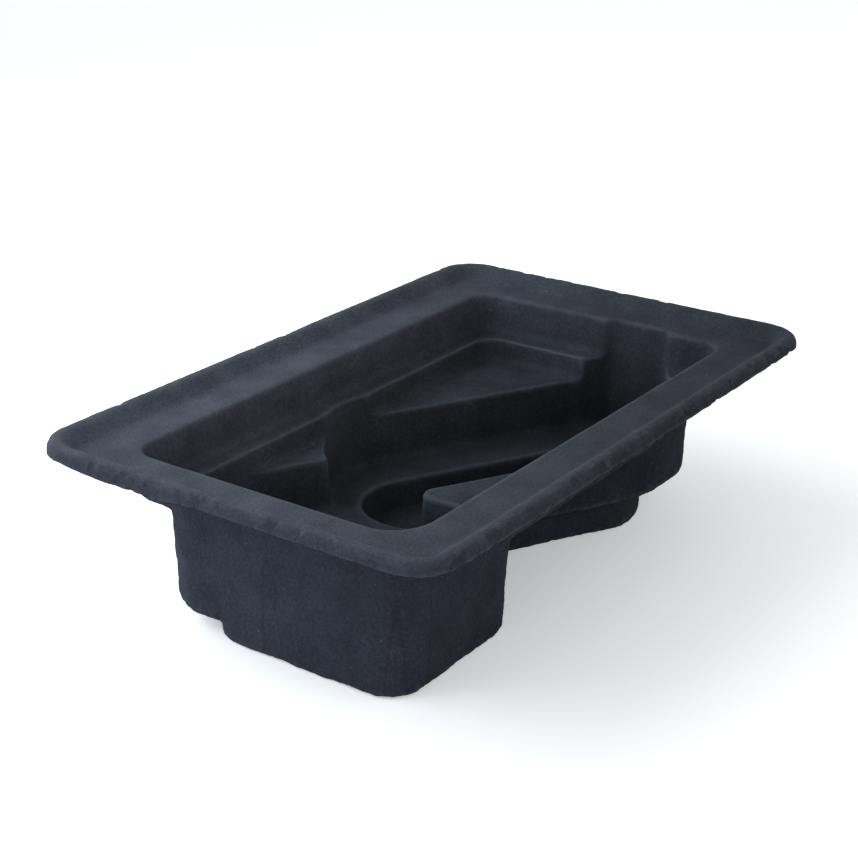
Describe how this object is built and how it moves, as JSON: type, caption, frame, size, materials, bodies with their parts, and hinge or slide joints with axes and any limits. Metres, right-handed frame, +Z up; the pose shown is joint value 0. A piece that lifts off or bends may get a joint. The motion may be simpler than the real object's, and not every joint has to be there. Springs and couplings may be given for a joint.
{
  "type": "molded pulp tray",
  "caption": "Rectangular molded pulp packing tray with a raised bead round its rim, stepped ledges, a deep end pocket and a slanted round-ended channel.",
  "frame": {"origin": "on the ground plane under the deep floor, centred under the rim", "axes": "+X along the tray's length, from the pocket end to the channel's far end; +Y across it, toward the side with the ledge; +Z up, out of the mouth"},
  "size_m": [0.3202, 0.2082, 0.0817],
  "materials": {
    "pulp": null
  },
  "bodies": {
    "root": {"pulp_tray": "pulp"}
  },
  "joints": []
}
